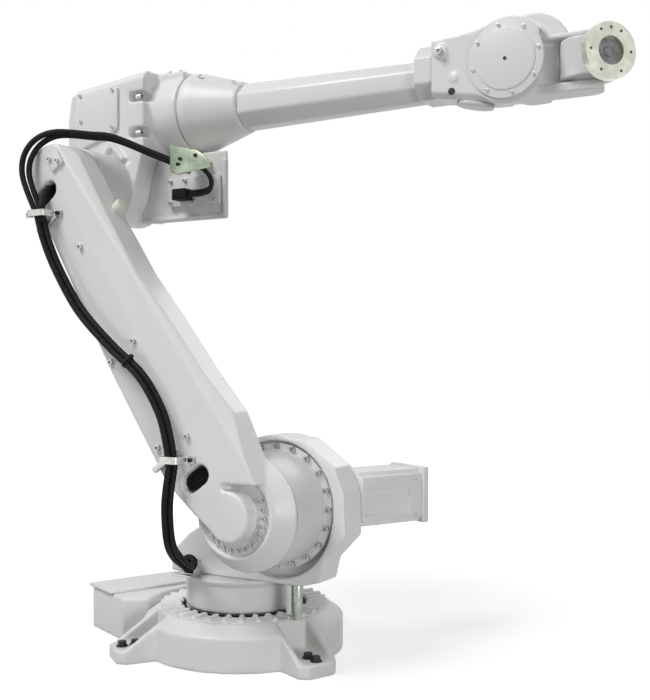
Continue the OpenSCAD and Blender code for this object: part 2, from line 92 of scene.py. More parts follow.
def addCamera():
    turn = math.radians(cameraSet["turn"])
    right = Vector((math.cos(turn), math.sin(turn), 0))
    toward = Vector((math.sin(turn), -math.cos(turn), 0))
    data = bpy.data.cameras.new("camera")
    data.sensor_fit = "AUTO"
    data.sensor_width = cameraSet["sensor"]
    data.lens = cameraSet["sensor"] * cameraSet["focus"] / cameraSet["tall"]
    data.clip_end = 60
    cam = linked("camera", data)
    cam.location = toward * cameraSet["back"] + right * cameraSet["side"] + Vector((0, 0, cameraSet["height"]))
    cam.rotation_euler = (math.radians(90), 0, turn)
    bpy.context.scene.camera = cam


def addLight(name, place, aim, size, power, beam=180):
    data = bpy.data.lights.new(name, "AREA")
    data.shape = "SQUARE"
    data.size = size
    data.energy = power
    data.spread = math.radians(beam)
    lamp = linked(name, data)
    lamp.location = place
    lamp.rotation_euler = (Vector(aim) - Vector(place)).to_track_quat("-Z", "Y").to_euler()


# materials
def groupSocket(group, name, way, kind, value=None):
    socket = group.interface.new_socket(name=name, in_out=way, socket_type=kind)
    if value is not None:
        socket.default_value = value


def wire(tree, a, b):
    tree.links.new(a, b)


def addNode(tree, kind, values=None, **settings):
    made = tree.nodes.new(kind)
    for key, value in settings.items():
        setattr(made, key, value)
    for key, value in (values or {}).items():
        made.inputs[key].default_value = value
    return made


def mapRange(tree, low, high, toLow=0.0, toHigh=1.0):
    return addNode(tree, "ShaderNodeMapRange", {"From Min": low, "From Max": high, "To Min": toLow, "To Max": toHigh})


def effectGroup(name, inputs):
    # a group with colour, roughness and height outputs, and object coordinates inside
    group = bpy.data.node_groups.new(name, "ShaderNodeTree")
    for key, value in inputs.items():
        groupSocket(group, key, "INPUT", "NodeSocketColor" if isinstance(value, tuple) else "NodeSocketFloat", value)
    groupSocket(group, "Color", "OUTPUT", "NodeSocketColor")
    groupSocket(group, "Roughness", "OUTPUT", "NodeSocketFloat")
    groupSocket(group, "Height", "OUTPUT", "NodeSocketFloat")
    into = addNode(group, "NodeGroupInput")
    out = addNode(group, "NodeGroupOutput")
    place = addNode(group, "ShaderNodeTexCoord").outputs["Object"]
    return group, into, out, place


def paintGroup():
    # orange peel, soiling that gathers low on the part, and faint handling marks
    group, into, out, place = effectGroup("sprayedPaint", {
        "Paint": (0.7, 0.7, 0.7, 1), "Soil": (0.45, 0.44, 0.42, 1), "Peel Scale": 420, "Gloss": 0.36})
    patch = addNode(group, "ShaderNodeTexNoise", {"Scale": 3.2, "Detail": 6, "Roughness": 0.62})
    streak = addNode(group, "ShaderNodeTexNoise", {"Scale": 38, "Detail": 4, "Roughness": 0.7})
    peel = addNode(group, "ShaderNodeTexNoise", {"Detail": 2})
    low = addNode(group, "ShaderNodeSeparateXYZ")
    floorSoil = mapRange(group, 0.0, 0.22, 0.30, 0.0)
    patchRange = mapRange(group, 0.48, 0.72, 0.0, 0.10)
    speck = mapRange(group, 0.66, 0.74, 0.0, 0.16)
    soilSum = addNode(group, "ShaderNodeMath", operation="ADD", use_clamp=True)
    soilBoth = addNode(group, "ShaderNodeMath", operation="MULTIPLY_ADD", use_clamp=True)
    mix = addNode(group, "ShaderNodeMix", data_type="RGBA")
    rough = addNode(group, "ShaderNodeMath", {1: 0.9}, operation="MULTIPLY_ADD", use_clamp=True)
    for texture in (patch, streak, peel):
        wire(group, place, texture.inputs["Vector"])
    wire(group, into.outputs["Peel Scale"], peel.inputs["Scale"])
    wire(group, place, low.inputs["Vector"])
    wire(group, low.outputs["Z"], floorSoil.inputs["Value"])
    wire(group, patch.outputs["Fac"], patchRange.inputs["Value"])
    wire(group, streak.outputs["Fac"], speck.inputs["Value"])
    wire(group, patchRange.outputs["Result"], soilSum.inputs[0])
    wire(group, speck.outputs["Result"], soilSum.inputs[1])
    wire(group, floorSoil.outputs["Result"], soilBoth.inputs[0])
    wire(group, patch.outputs["Fac"], soilBoth.inputs[1])
    wire(group, soilSum.outputs[0], soilBoth.inputs[2])
    wire(group, soilBoth.outputs[0], mix.inputs["Factor"])
    wire(group, into.outputs["Paint"], mix.inputs["A"])
    wire(group, into.outputs["Soil"], mix.inputs["B"])
    wire(group, mix.outputs["Result"], out.inputs["Color"])
    wire(group, soilBoth.outputs[0], rough.inputs[0])
    wire(group, into.outputs["Gloss"], rough.inputs[2])
    wire(group, rough.outputs[0], out.inputs["Roughness"])
    wire(group, peel.outputs["Fac"], out.inputs["Height"])
    return group


def brushedGroup():
    # turned or plated metal, and cable jackets: fine grain and blotches
    group, into, out, place = effectGroup("workedMetal", {
        "Light": (0.6, 0.6, 0.6, 1), "Dark": (0.4, 0.4, 0.4, 1), "Scale": 60, "Gloss": 0.28})
    blotch = addNode(group, "ShaderNodeTexNoise", {"Detail": 5, "Roughness": 0.6})
    fine = addNode(group, "ShaderNodeTexNoise", {"Scale": 900, "Detail": 2})
    ramp = mapRange(group, 0.35, 0.68)
    mix = addNode(group, "ShaderNodeMix", data_type="RGBA")
    rough = addNode(group, "ShaderNodeMath", {1: 0.22}, operation="MULTIPLY_ADD", use_clamp=True)
    wire(group, place, blotch.inputs["Vector"])
    wire(group, place, fine.inputs["Vector"])
    wire(group, into.outputs["Scale"], blotch.inputs["Scale"])
    wire(group, blotch.outputs["Fac"], ramp.inputs["Value"])
    wire(group, ramp.outputs["Result"], mix.inputs["Factor"])
    wire(group, into.outputs["Light"], mix.inputs["A"])
    wire(group, into.outputs["Dark"], mix.inputs["B"])
    wire(group, mix.outputs["Result"], out.inputs["Color"])
    wire(group, fine.outputs["Fac"], rough.inputs[0])
    wire(group, into.outputs["Gloss"], rough.inputs[2])
    wire(group, rough.outputs[0], out.inputs["Roughness"])
    wire(group, fine.outputs["Fac"], out.inputs["Height"])
    return group


effects = {"paint": paintGroup(), "metal": brushedGroup()}


def finishWith(name, effect, inputs, bumpDepth, metallic=0.0, specular=0.5):
    made = bpy.data.materials.new(name)
    made.use_nodes = True
    tree = made.node_tree
    shader = tree.nodes["Principled BSDF"]
    shader.inputs["Metallic"].default_value = metallic
    shader.inputs["Specular IOR Level"].default_value = specular
    group = addNode(tree, "ShaderNodeGroup", node_tree=effects[effect])
    for key, value in inputs.items():
        group.inputs[key].default_value = value
    bump = addNode(tree, "ShaderNodeBump", {"Strength": 0.25, "Distance": bumpDepth})
    wire(tree, group.outputs["Color"], shader.inputs["Base Color"])
    wire(tree, group.outputs["Roughness"], shader.inputs["Roughness"])
    wire(tree, group.outputs["Height"], bump.inputs["Height"])
    wire(tree, bump.outputs["Normal"], shader.inputs["Normal"])
    return made


def paintLook(name, paint, soil, peel, gloss, bump):
    inputs = {"Paint": (*paint, 1), "Soil": (*soil, 1), "Peel Scale": peel, "Gloss": gloss}
    return finishWith(name, "paint", inputs, bump)


def metalLook(name, light, dark, scale, gloss, bump=0.0001, **more):
    inputs = {"Light": (*light, 1), "Dark": (*dark, 1), "Scale": scale, "Gloss": gloss}
    return finishWith(name, "metal", inputs, bump, **more)


looks = {made.name: made for made in (
    paintLook("castPaint", (0.80, 0.80, 0.79), (0.50, 0.49, 0.46), 420, 0.34, 0.0006),
    paintLook("lidPaint", (0.78, 0.78, 0.77), (0.48, 0.47, 0.44), 700, 0.40, 0.0003),
    # darker grey: the gearboxes' own paint, and painted shade on the neck, the motor box and the connector plate, which
    # lie in shadow
    paintLook("greyAndShadePaint", (0.68, 0.68, 0.67), (0.38, 0.37, 0.35), 500, 0.36, 0.0004),
    metalLook("zincPlate", (0.36, 0.42, 0.32), (0.24, 0.29, 0.21), 55, 0.24, metallic=0.88),
    metalLook("flangeSteel", (0.70, 0.72, 0.63), (0.50, 0.53, 0.43), 38, 0.22, metallic=0.9),
    metalLook("pinSteel", (0.42, 0.47, 0.42), (0.24, 0.28, 0.25), 55, 0.20, metallic=0.6),
    metalLook("boreSteel", (0.26, 0.26, 0.26), (0.12, 0.12, 0.12), 60, 0.30, metallic=0.6),
    metalLook("screwSteel", (0.60, 0.60, 0.58), (0.40, 0.40, 0.39), 180, 0.26, metallic=0.8),
    metalLook("blackScrew", (0.030, 0.030, 0.032), (0.012, 0.012, 0.013), 160, 0.36, metallic=0.4),
    metalLook("cableJacket", (0.016, 0.017, 0.017), (0.006, 0.006, 0.007), 90, 0.46, 0.0002, specular=0.12),
    paintLook("bumperPlastic", (0.72, 0.71, 0.64), (0.45, 0.42, 0.34), 300, 0.50, 0.0003),
    metalLook("deepShadow", (0.012, 0.012, 0.012), (0.006, 0.006, 0.006), 40, 0.70, 0.0002, specular=0.15),
)}
print("stage: materials,", len(looks))


# shared modelling helpers
def showSmooth(mesh, angle=32):
    for face in mesh.polygons:
        face.use_smooth = True
    mesh.set_sharp_from_angle(angle=math.radians(angle))


def newPiece(name, bm, body, look, angle=32):
    mesh = bpy.data.meshes.new(name)
    bm.to_mesh(mesh)
    bm.free()
    mesh.materials.append(looks[look])
    showSmooth(mesh, angle)
    obj = linked(name, mesh)
    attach(obj, body)
    return obj


def evaluatedMesh(obj):
    bpy.context.view_layer.update()
    return bpy.data.meshes.new_from_object(obj.evaluated_get(bpy.context.evaluated_depsgraph_get()))


def bakeModifiers(obj, angle):
    done = evaluatedMesh(obj)
    obj.modifiers.clear()
    old = obj.data
    obj.data = done
    done.name = old.name
    bpy.data.meshes.remove(old)
    showSmooth(done, angle)


def nodeCopy(node):
    # the solid's mesh is loose triangles, so a copy is merged first
    bm = bmesh.new()
    bm.from_mesh(nodes[node].data)
    bmesh.ops.remove_doubles(bm, verts=bm.verts[:], dist=0.00002)
    return bm


def armPoint(side, out, along):
    # along the lower arm from axis 2, in metres
    lean = math.radians(arm["lean"])
    x, y, z = arm["axis2"]
    return Vector((x + side * math.cos(lean) - along * math.sin(lean), out,
                   z + side * math.sin(lean) + along * math.cos(lean)))


def ringPlaces(middle, radius, angles):
    # places on a circle that faces along Y
    turns = [math.radians(a) for a in angles]
    return [Vector(middle) + Vector((radius * math.cos(t), 0, radius * math.sin(t))) for t in turns]


def faceOutward(bm):
    bmesh.ops.recalc_face_normals(bm, faces=bm.faces[:])


def breakEdges(bm, edges, width, segments, clamp=False):
    bmesh.ops.bevel(bm, geom=edges, offset=width, offset_type="OFFSET", segments=segments, profile=0.5,
                    affect="EDGES", clamp_overlap=clamp, material=-1)


def turnTo(bm, verts, way, place):
    # from +Z at the origin to a direction and a place
    bmesh.ops.rotate(bm, matrix=up.rotation_difference(Vector(way)).to_matrix(), verts=verts)
    bmesh.ops.translate(bm, vec=Vector(place), verts=verts)


def blockInto(bm, low, high, turn=None, soften=0.0):
    # block between two corners, turned about its middle
    low, high = Vector(low), Vector(high)
    made = bmesh.ops.create_cube(bm, size=1)["verts"]
    bmesh.ops.scale(bm, vec=high - low, verts=made)
    if turn:
        bmesh.ops.rotate(bm, matrix=turn, verts=made)
    bmesh.ops.translate(bm, vec=(low + high) / 2, verts=made)
    if soften:
        breakEdges(bm, list({e for v in made for e in v.link_edges}), soften, 2)


def coneInto(bm, radius, tip, depth, segments):
    return bmesh.ops.create_cone(bm, cap_ends=True, cap_tris=False, segments=segments,
                                 radius1=radius, radius2=tip, depth=depth)["verts"]


def drumInto(bm, place, axis, radius, depth, segments=48, tip=None):
    made = coneInto(bm, radius, radius if tip is None else tip, depth, segments)
    turnTo(bm, made, axis, place)


def latheInto(bm, outline, steps):
    # outline of radius and height, turned about Z
    points = [bm.verts.new((radius, 0, height)) for radius, height in outline]
    edges = [bm.edges.new(pair) for pair in zip(points, points[1:])]
    bmesh.ops.spin(bm, geom=points + edges, cent=(0, 0, 0), axis=(0, 0, 1), angle=math.tau, steps=steps,
                   use_merge=True, use_duplicate=False)
    bmesh.ops.remove_doubles(bm, verts=bm.verts[:], dist=0.00005)


def castNode(node, voxel, look, adds, cuts, rounds):
    # a casting: the solid with its lugs grown on, its pockets cut, and every edge and corner filleted
    bm = nodeCopy(node)
    for add in adds:
        add(bm)
    obj = newPiece(node + "Cast", bm, nodes[node]["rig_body"], look)
    tools = []
    for cut in cuts:
        cutter = bmesh.new()
        cut(cutter)
        mesh = bpy.data.meshes.new("cutter")
        cutter.to_mesh(mesh)
        cutter.free()
        tool = linked("cutter", mesh)
        made = obj.modifiers.new("pocket", "BOOLEAN")
        made.operation = "DIFFERENCE"
        made.solver = "EXACT"
        made.use_self = True
        made.object = tool
        tools.append(tool)
    remesh = obj.modifiers.new("skin", "REMESH")
    remesh.mode = "VOXEL"
    remesh.voxel_size = voxel
    smooth = obj.modifiers.new("fillet", "SMOOTH")
    smooth.factor = 0.5
    smooth.iterations = rounds
    bakeModifiers(obj, 60)
    for tool in tools:
        bpy.data.objects.remove(tool)
    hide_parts(node)


def trimNode(node, width, look, slot, segments=3, sharp=28, flat=0.4):
    # a machined or sheet part: the solid with its edges broken
    bm = nodeCopy(node)
    bmesh.ops.dissolve_limit(bm, angle_limit=math.radians(flat), verts=bm.verts[:], edges=bm.edges[:])
    edges = [e for e in bm.edges if len(e.link_faces) == 2 and e.calc_face_angle(0) > math.radians(sharp)]
    breakEdges(bm, edges, width, segments, clamp=True)
    obj = newPiece(node + "Trim", bm, nodes[node]["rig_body"], look)
    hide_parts(node)


# screws
def topFace(bm):
    return max(bm.faces, key=lambda f: f.calc_center_median().z)


def screwShape(kind):
    # unit head along +Z: cap head with a hexagon socket, or hexagon head on a washer
    bm = bmesh.new()
    if kind == "hexagon":
        made = coneInto(bm, 0.82, 0.82, 0.8, 6)
        bmesh.ops.translate(bm, vec=(0, 0, 0.6), verts=made)
        breakEdges(bm, list(topFace(bm).edges), 0.10, 2)
        made = coneInto(bm, 1.12, 1.05, 0.2, 24)
        bmesh.ops.translate(bm, vec=(0, 0, 0.1), verts=made)
        return bm
    made = coneInto(bm, 1, 1, 1, 24)
    bmesh.ops.translate(bm, vec=(0, 0, 0.5), verts=made)
    breakEdges(bm, list(topFace(bm).edges), 0.14, 2)
    top = topFace(bm)
    bmesh.ops.inset_individual(bm, faces=[top], thickness=0.30)
    for v in top.verts:
        spot = math.atan2(v.co.y, v.co.x) % math.radians(60) - math.radians(30)
        v.co.xy = v.co.xy.normalized() * 0.50 / math.cos(spot)
    wall = bmesh.ops.extrude_discrete_faces(bm, faces=[top])["faces"][0]
    bmesh.ops.translate(bm, vec=(0, 0, -0.55), verts=list(wall.verts))
    return bm


screwShapes = {}
for kind in ("socket", "hexagon"):
    shape = screwShape(kind)
    screwShapes[kind] = bpy.data.meshes.new(kind)
    shape.to_mesh(screwShapes[kind])
    shape.free()


def addScrews(name, body, radius, height, places, way=near, look="screwSteel", kind="socket"):
    # heads of one size at some places, all facing one way
    bm = bmesh.new()
    for place in places:
        before = len(bm.verts)
        bm.from_mesh(screwShapes[kind])
        bm.verts.ensure_lookup_table()
        fresh = bm.verts[before:]
        bmesh.ops.scale(bm, vec=(radius, radius, height), verts=fresh)
        turnTo(bm, fresh, way, place)
    newPiece(name, bm, body, look, angle=35)


# floor and light
studio = {"world": 0.115, "floorSize": 14, "floorShade": 0.42, "fadeFrom": 0.7, "fadeTo": 2.4,
          "glowNear": 0.70, "glowFar": 1.0}
lamps = {
    "key": {"place": (-2.3, -4.4, 7.0), "aim": (0, 0, 0.8), "size": 3.4, "power": 440},
    "back": {"place": (1.0, 5.0, 4.2), "aim": (0, 0, 0.8), "size": 3.0, "power": 85},
    "fill": {"place": (4.0, -2.3, 0.7), "aim": (0.1, 0, 0.22), "size": 1.6, "power": 9.5, "beam": 60},
    "low": {"place": (-3.2, -3.6, 0.8), "aim": (-0.2, 0, 0.22), "size": 1.6, "power": 1.6, "beam": 60},
}


def eitherRay(tree, first, second):
    made = addNode(tree, "ShaderNodeMath", operation="MAXIMUM")
    wire(tree, first, made.inputs[0])
    wire(tree, second, made.inputs[1])
    return made.outputs[0]


def addWorld():
    # white where it is seen or mirrored, dimmer as light
    world = bpy.data.worlds.new("world")
    world.use_nodes = True
    tree = world.node_tree
    light = tree.nodes["Background"]
    light.inputs["Color"].default_value = (1, 1, 1, 1)
    light.inputs["Strength"].default_value = studio["world"]
    white = addNode(tree, "ShaderNodeBackground", {"Color": (1, 1, 1, 1), "Strength": 1.0})
    rays = addNode(tree, "ShaderNodeLightPath").outputs
    mix = addNode(tree, "ShaderNodeMixShader")
    seen = eitherRay(tree, rays["Is Camera Ray"], rays["Is Glossy Ray"])
    wire(tree, eitherRay(tree, seen, rays["Is Transmission Ray"]), mix.inputs["Fac"])
    wire(tree, light.outputs[0], mix.inputs[1])
    wire(tree, white.outputs[0], mix.inputs[2])
    wire(tree, mix.outputs[0], tree.nodes["World Output"].inputs["Surface"])
    bpy.context.scene.world = world
    bpy.context.scene.view_settings.view_transform = "Standard"


def addFloor():
    bm = bmesh.new()
    bmesh.ops.create_grid(bm, x_segments=8, y_segments=8, size=studio["floorSize"])
    mesh = bpy.data.meshes.new("floor")
    bm.to_mesh(mesh)
    bm.free()
    floor = linked("floor", mesh)
    paint = bpy.data.materials.new("paleFloor")
    paint.use_nodes = True
    tree = paint.node_tree
    matt = tree.nodes["Principled BSDF"]
    matt.inputs["Base Color"].default_value = (studio["floorShade"],) * 3 + (1,)
    matt.inputs["Roughness"].default_value = 1
    matt.inputs["Specular IOR Level"].default_value = 0
    # the floor runs out to white, so that no horizon shows
    glow = addNode(tree, "ShaderNodeEmission", {"Color": (1, 1, 1, 1)})
    place = addNode(tree, "ShaderNodeTexCoord")
    away = addNode(tree, "ShaderNodeVectorMath", operation="LENGTH")
    fade = mapRange(tree, studio["fadeFrom"], studio["fadeTo"], studio["glowNear"], studio["glowFar"])
    wire(tree, place.outputs["Object"], away.inputs[0])
    wire(tree, away.outputs["Value"], fade.inputs["Value"])
    wire(tree, fade.outputs["Result"], glow.inputs["Strength"])
    both = addNode(tree, "ShaderNodeAddShader")
    mix = addNode(tree, "ShaderNodeMixShader")
    rays = addNode(tree, "ShaderNodeLightPath").outputs
    wire(tree, matt.outputs[0], both.inputs[0])
    wire(tree, glow.outputs[0], both.inputs[1])
    wire(tree, eitherRay(tree, rays["Is Camera Ray"], rays["Is Glossy Ray"]), mix.inputs["Fac"])
    wire(tree, matt.outputs[0], mix.inputs[1])
    wire(tree, both.outputs[0], mix.inputs[2])
    wire(tree, mix.outputs[0], tree.nodes["Material Output"].inputs["Surface"])
    mesh.materials.append(paint)


addCamera()
for name, lamp in lamps.items():
    addLight(name, **lamp)
addWorld()
addFloor()
print("stage: camera, floor and light")

# dress cables: route points in millimetres, along the solids' routes, the upper loop a little rounder
cables = {
    "low": [(-66, -152, 226), (-50, -196, 244), (-20, -270, 280), (4, -326, 330), (22, -357, 420), (34, -357, 504)],
    "arm": [(35, -357, 516), (25, -357, 576), (0, -357, 647), (-61, -357, 730), (-156, -357, 802),
            (-255, -357, 890), (-330, -357, 994), (-371, -357, 1072), (-390, -357, 1128)],
    "high": [(-393, -357, 1138), (-444, -358, 1247), (-432, -348, 1316), (-379, -321, 1351),
             (-291, -272, 1346), (-238, -246, 1338), (-160, -202, 1302), (-106, -173, 1277)],
    "tail": [(-100, -170, 1274), (-72, -170, 1274), (-46, -165, 1269), (-27, -150, 1257), (-20, -131, 1240),
             (-27, -112, 1223), (-46, -97, 1211), (-72, -92, 1206), (-112, -92, 1206)],
    "strand": {"low": 0.0076, "arm": 0.0076, "high": 0.0076, "tail": 0.0060},  # radius
    "spread": {"low": 0.0073, "arm": 0.0073, "high": 0.0073, "tail": 0.0058},  # off the middle line
    "bow": {"low": 0.012, "arm": 0.0, "high": 0.007, "tail": 0.0},  # how far the outer strand hangs away
    "lap": {"arm": ((34, -357, 506), (-394, -357, 1142))},  # run on under the straps
    "beside": 0.62,
    "behind": 0.78,
}
# each run's solid, and the body it rides on or the two bodies it spans
cableRuns = {
    "low": ("low_loop_cable", None, ("turret", "lower_arm")),
    "arm": ("arm_cable", "lower_arm", None),
    "high": ("high_loop_cable", None, ("lower_arm", "elbow")),
    "tail": ("tail_cable", "elbow", None),
}


def smoothPath(points, steps=8):
    # smooth curve through the route points
    done = []
    for i in range(len(points) - 1):
        a, b, c, d = (points[max(0, min(len(points) - 1, i + k))] for k in (-1, 0, 1, 2))
        for k in range(steps):
            t = k / steps
            done.append(0.5 * (2 * b + (c - a) * t + (2 * a - 5 * b + 4 * c - d) * t ** 2
                               + (3 * b - a - 3 * c + d) * t ** 3))
    return done + [points[-1]]


def strandPath(run, side):
    # one strand beside the middle line of the bundle
    first, last = cables["lap"].get(run, (None, None))
    route = ([first] if first else []) + cables[run] + ([last] if last else [])
    points = smoothPath([Vector(p) / 1000 for p in route])
    done = []
    for i, p in enumerate(points):
        way = (points[min(i + 1, len(points) - 1)] - points[max(i - 1, 0)]).normalized()
        bow = cables["bow"][run] * math.sin(math.pi * min(1, 2 * i / len(points))) ** 2 if side < 0 else 0
        beside = way.cross(Vector((0, 1, 0.2))).normalized()
        behind = way.cross(beside).normalized()
        done.append(p + beside * (side * cables["beside"] - bow) + behind * side * cables["behind"])
    return done


def tubeMesh(name, path, radius):
    curve = bpy.data.curves.new(name, "CURVE")
    curve.dimensions = "3D"
    curve.bevel_depth = radius
    curve.bevel_resolution = 3
    curve.use_fill_caps = True
    line = curve.splines.new("POLY")
    line.points.add(len(path) - 1)
    for point, place in zip(line.points, path):
        point.co = (*place, 1)
    carrier = linked(name + "Line", curve)
    mesh = evaluatedMesh(carrier)
    bpy.data.objects.remove(carrier)
    mesh.materials.clear()
    mesh.materials.append(looks["cableJacket"])
    for face in mesh.polygons:
        face.use_smooth = True
    obj = linked(name, mesh)
    return obj


def addStrand(name, path, radius, body, span):
    obj = tubeMesh(name, path, radius)
    if span:
        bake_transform(obj)
    else:
        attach(obj, body)
    length = sum((b - a).length for a, b in zip(path, path[1:]))
    return obj, length


for run, (node, body, span) in cableRuns.items():
    for number, side in enumerate((-1, 1)):
        path = strandPath(run, side * cables["spread"][run])
        obj, length = addStrand(run + "Strand%d" % number, path, cables["strand"][run], body, span)
        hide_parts(node)
        print("stage: cable", obj.name, round(length, 3))

# front plate of the clamp that the bundle passes behind: outline, posts and screws along X and Z
bracket = {
    "outline": ((-0.102, 1.317), (-0.008, 1.291), (0.024, 1.267), (0.024, 1.250), (-0.076, 1.2415), (-0.102, 1.254)),
    "front": -0.1862, "thick": 0.004, "edge": 0.0009,
    "posts": ((-0.086, 1.300), (-0.072, 1.251)), "postMiddle": -0.166, "postRadius": 0.0045, "postLong": 0.040,
    "screws": ((-0.069, 1.279), (-0.076, 1.266), (-0.020, 1.284)), "screwFoot": -0.1900,
}


def addBracketFront():
    bm = bmesh.new()
    bm.faces.new([bm.verts.new((x, bracket["front"], z)) for x, z in bracket["outline"]])
    bm.normal_update()
    bmesh.ops.solidify(bm, geom=bm.faces[:], thickness=bracket["thick"])
    faceOutward(bm)
    breakEdges(bm, bm.edges[:], bracket["edge"], 2)
    newPiece("bracketFront", bm, "elbow", "zincPlate", angle=40)
    bm = bmesh.new()
    for x, z in bracket["posts"]:
        drumInto(bm, (x, bracket["postMiddle"], z), across, bracket["postRadius"], bracket["postLong"], 16)
    newPiece("bracketPosts", bm, "elbow", "zincPlate")
    places = [(x, bracket["screwFoot"], z) for x, z in bracket["screws"]]
    addScrews("bracketScrews", "elbow", 0.0048, 0.0040, places, look="blackScrew")


# gland and clip where the bundle leaves the turret
gland = {
    "outline": ((0.008, -0.014), (0.023, -0.014), (0.023, -0.004), (0.0205, -0.002), (0.0205, 0.006),
                (0.0225, 0.008), (0.0225, 0.018), (0.019, 0.022), (0.008, 0.022)),
    "way": Vector((16, -44, 24)).normalized(), "place": (-0.066, -0.152, 0.2345),
    "clipWall": ((-0.050, -0.160, 0.2105), (-0.046, -0.130, 0.246)),
    "clipFoot": ((-0.098, -0.160, 0.2105), (-0.046, -0.130, 0.2135)),
}


def addGland():
    bm = bmesh.new()
    latheInto(bm, gland["outline"], 40)
    turnTo(bm, bm.verts[:], gland["way"], gland["place"])
    faceOutward(bm)
    newPiece("cableGland", bm, "turret", "cableJacket", angle=40)
    bm = bmesh.new()
    for part in ("clipWall", "clipFoot"):
        blockInto(bm, *gland[part], soften=0.0008)
    newPiece("glandClip", bm, "turret", "screwSteel")


# cable tie round the bundle, with its head
tie = {
    "outline": ((0.0146, -0.003), (0.0164, -0.003), (0.0168, 0.0), (0.0164, 0.003), (0.0146, 0.003)),
    "head": ((0.013, -0.0045, -0.0045), (0.0225, 0.0045, 0.0045)),
    "way": (-0.797, 0, 0.604), "place": (-0.0995, -0.357, 0.7605),
}


def addTie():
    bm = bmesh.new()
    latheInto(bm, tie["outline"], 32)
    blockInto(bm, *tie["head"], soften=0.0012)
    turnTo(bm, bm.verts[:], tie["way"], tie["place"])
    faceOutward(bm)
    newPiece("cableTie", bm, "lower_arm", "cableJacket")


# short boot from the upper opening into the bundle
boot = {
    "route": ((-0.400, -0.316, 1.212), (-0.397, -0.334, 1.196), (-0.393, -0.349, 1.172),
              (-0.390, -0.3555, 1.146), (-0.385, -0.357, 1.118)),
    "radius": 0.0100,
}


def addBoot():
    obj = tubeMesh("openingBoot", smoothPath([Vector(p) for p in boot["route"]]), boot["radius"])
    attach(obj, "lower_arm")


# straps that hold the bundle on the arm: bends along X and out from the arm, and screws
straps = {
    "lower": {"line": ((-0.014, -0.331), (0.006, -0.331), (0.012, -0.372), (0.058, -0.372),
                       (0.064, -0.336), (0.088, -0.336)), "z": 0.529, "tall": 0.017},
    "upper": {"line": ((-0.452, -0.344), (-0.424, -0.346), (-0.420, -0.373), (-0.368, -0.373),
                       (-0.362, -0.334), (-0.338, -0.334)), "z": 1.142, "tall": 0.016},
    "thick": 0.0026,
    "fold": 0.004,
    "screws": ((-0.004, -0.334, 0.529), (0.077, -0.338, 0.529), (-0.440, -0.347, 1.142), (-0.349, -0.337, 1.142)),
}


def addStrap(name):
    strap = straps[name]
    bm = bmesh.new()
    line = [bm.verts.new((x, y, strap["z"] - strap["tall"] / 2)) for x, y in strap["line"]]
    edges = [bm.edges.new(pair) for pair in zip(line, line[1:])]
    raised = bmesh.ops.extrude_edge_only(bm, edges=edges)["geom"]
    bmesh.ops.translate(bm, vec=(0, 0, strap["tall"]), verts=[v for v in raised if isinstance(v, bmesh.types.BMVert)])
    breakEdges(bm, [e for e in bm.edges if len(e.link_faces) == 2], straps["fold"], 4)
    bmesh.ops.solidify(bm, geom=bm.faces[:], thickness=straps["thick"])
    faceOutward(bm)
    newPiece(name + "Strap", bm, "lower_arm", "screwSteel", angle=40)


addBracketFront()
addGland()
addTie()
addBoot()
addStrap("lower")
addStrap("upper")
print("stage: straps")

# what castings gain or lose: two-corner blocks, and drums by place, radius and depth
elbow = {
    "pocketRows": (1.478, 1.380), "pocketDeep": 0.050, "pocketWide": 0.030, "pocketTall": 0.028, "past": 0.02,
    "edge": -0.2440, "face": -0.125,
    "webs": ((42, -0.372), (-42, -0.333)), "webHalf": 0.007, "webSpan": (-0.137, -0.105), "webRise": (1.296, 1.372),
    "lugRib": ((-0.304, -0.131, 1.250), (-0.293, -0.110, 1.296)),
    "lug": ((-0.297, -0.120, 1.246), 0.012, 0.024),
}
motorBox = {
    "floorRim": ((-0.294, -0.067, 1.1385), (-0.018, -0.050, 1.1495)),
    "endRim": ((-0.026, -0.067, 1.140), (-0.015, -0.050, 1.292)),
}
turretFrame = {
    "stopRib": ((0.194, -0.104, 0.128), (0.210, -0.084, 0.215)),
    "recess": ((0.175, -0.105, 0.379), 0.1600, 0.052),
}
wrist = {
    "lugs": (((0.607, -0.074, 1.484), 0.016, 0.022), ((0.640, -0.074, 1.420), 0.010, 0.016)),
    "webTall": 0.052, "webTip": (0.0625, 0.006), "webRoot": (0.135, 0.034),
}
deck = {"ribs": 32, "middle": 0.1950, "z": 0.1172, "radius": 0.0070, "long": 0.054}


def elbowPocket(z):
    low = (elbow["edge"] - elbow["pocketDeep"], elbow["face"] - elbow["past"], z - elbow["pocketTall"] / 2)
    high = (elbow["edge"] + elbow["past"], elbow["face"] + elbow["pocketWide"], z + elbow["pocketTall"] / 2)
    return lambda bm: blockInto(bm, low, high)


def elbowWeb(bm):
    # V-shaped web under the housing
    (yLow, yHigh), (zLow, zHigh) = elbow["webSpan"], elbow["webRise"]
    for tilt, x in elbow["webs"]:
        turn = Matrix.Rotation(math.radians(tilt), 3, "Y")
        blockInto(bm, (x - elbow["webHalf"], yLow, zLow), (x + elbow["webHalf"], yHigh, zHigh), turn)


def elbowLug(bm):
    # small lug and rib beside the axis 3 drive
    blockInto(bm, *elbow["lugRib"])
    place, radius, depth = elbow["lug"]
    drumInto(bm, place, across, radius, depth)


def motorBoxRim(bm):
    # thin flange along the floor and the right end of the motor box
    blockInto(bm, *motorBox["floorRim"])
    blockInto(bm, *motorBox["endRim"])


def stopRib(bm):
    # rib beside the stop pin
    blockInto(bm, *turretFrame["stopRib"])


def frameRecess(bm):
    # crescent cut away under the axis 2 drive
    place, radius, depth = turretFrame["recess"]
    drumInto(bm, place, across, radius, depth, 96)


def wristLug(bm):
    # bolt lug beside the collar, and a smaller boss
    for place, radius, depth in wrist["lugs"]:
        drumInto(bm, place, across, radius, depth)


